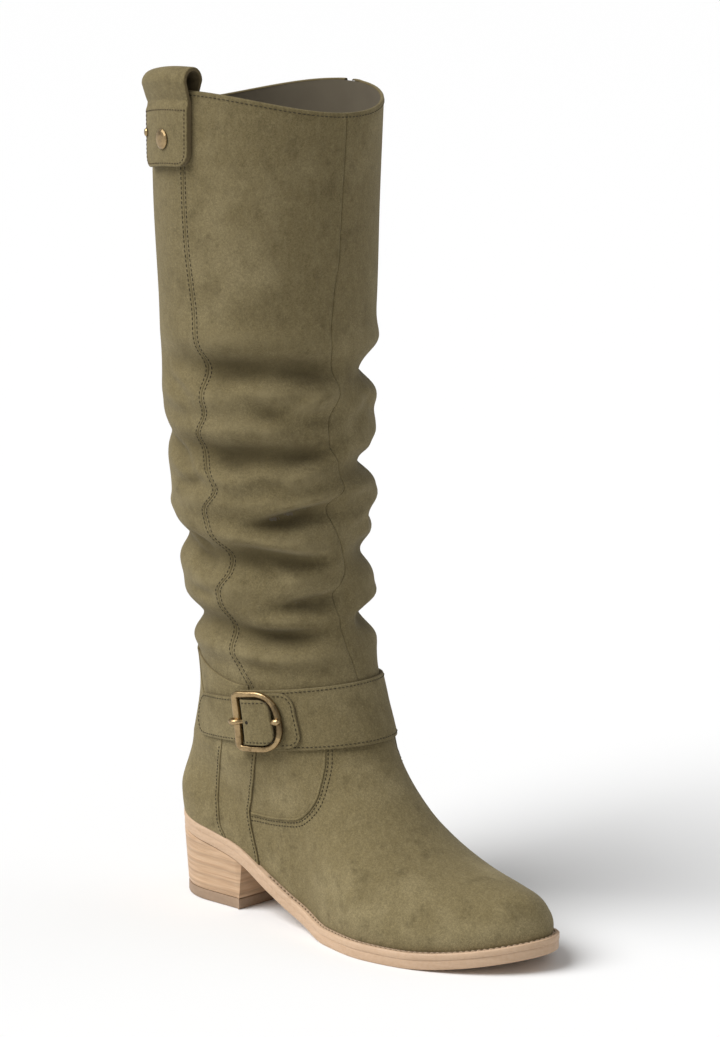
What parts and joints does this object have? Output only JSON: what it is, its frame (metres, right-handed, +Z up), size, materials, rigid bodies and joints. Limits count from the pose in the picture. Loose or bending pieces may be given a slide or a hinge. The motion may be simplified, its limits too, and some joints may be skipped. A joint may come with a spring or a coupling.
{
  "type": "slouch boot",
  "caption": "Tall slouched suede boot for the right foot with a stacked block heel, a buckled ankle strap, a side zip and a pull loop.",
  "frame": {"origin": "middle of the boot's footprint on the floor, at the centre of its box's bottom face", "axes": "+X towards the toe, +Y towards the inner side of the foot, +Z up"},
  "size_m": [0.2674, 0.1386, 0.4722],
  "materials": {
    "suede": "olive nap with a fine grain",
    "lining": "matt lining",
    "tan_sole": "matt tan",
    "stacked_wood": "stacked layers, satin",
    "heel_lift": "matt brown",
    "antique_brass": "dark antique brass, satin",
    "zip_tape": "woven, matt",
    "zip_teeth": "antique brass"
  },
  "bodies": {
    "boot": {"upper": "suede", "heel_counter": "suede", "insole": "lining", "welt": "tan_sole", "outsole": "tan_sole", "heel_block": "stacked_wood", "top_lift": "heel_lift", "ankle_strap": "suede", "buckle_base": "suede", "buckle_tab": "suede", "buckle_frame": "antique_brass", "buckle_prong": "antique_brass", "pull_loop": "suede", "loop_rivet": "antique_brass", "loop_rivet_small": "antique_brass", "zip_tape": "zip_tape", "zip_teeth": "zip_teeth", "zip_slider": "antique_brass"},
    "zip_pull": {"zip_pull": "antique_brass"}
  },
  "joints": [
    {"name": "zip_pull_swing", "type": "hinge", "parent": "boot", "child": "zip_pull", "pos_m": [-0.06495, 0.06669, 0.45187], "axis": [0.9989, -0.0473, 0], "range_deg": [0, 160]}
  ]
}
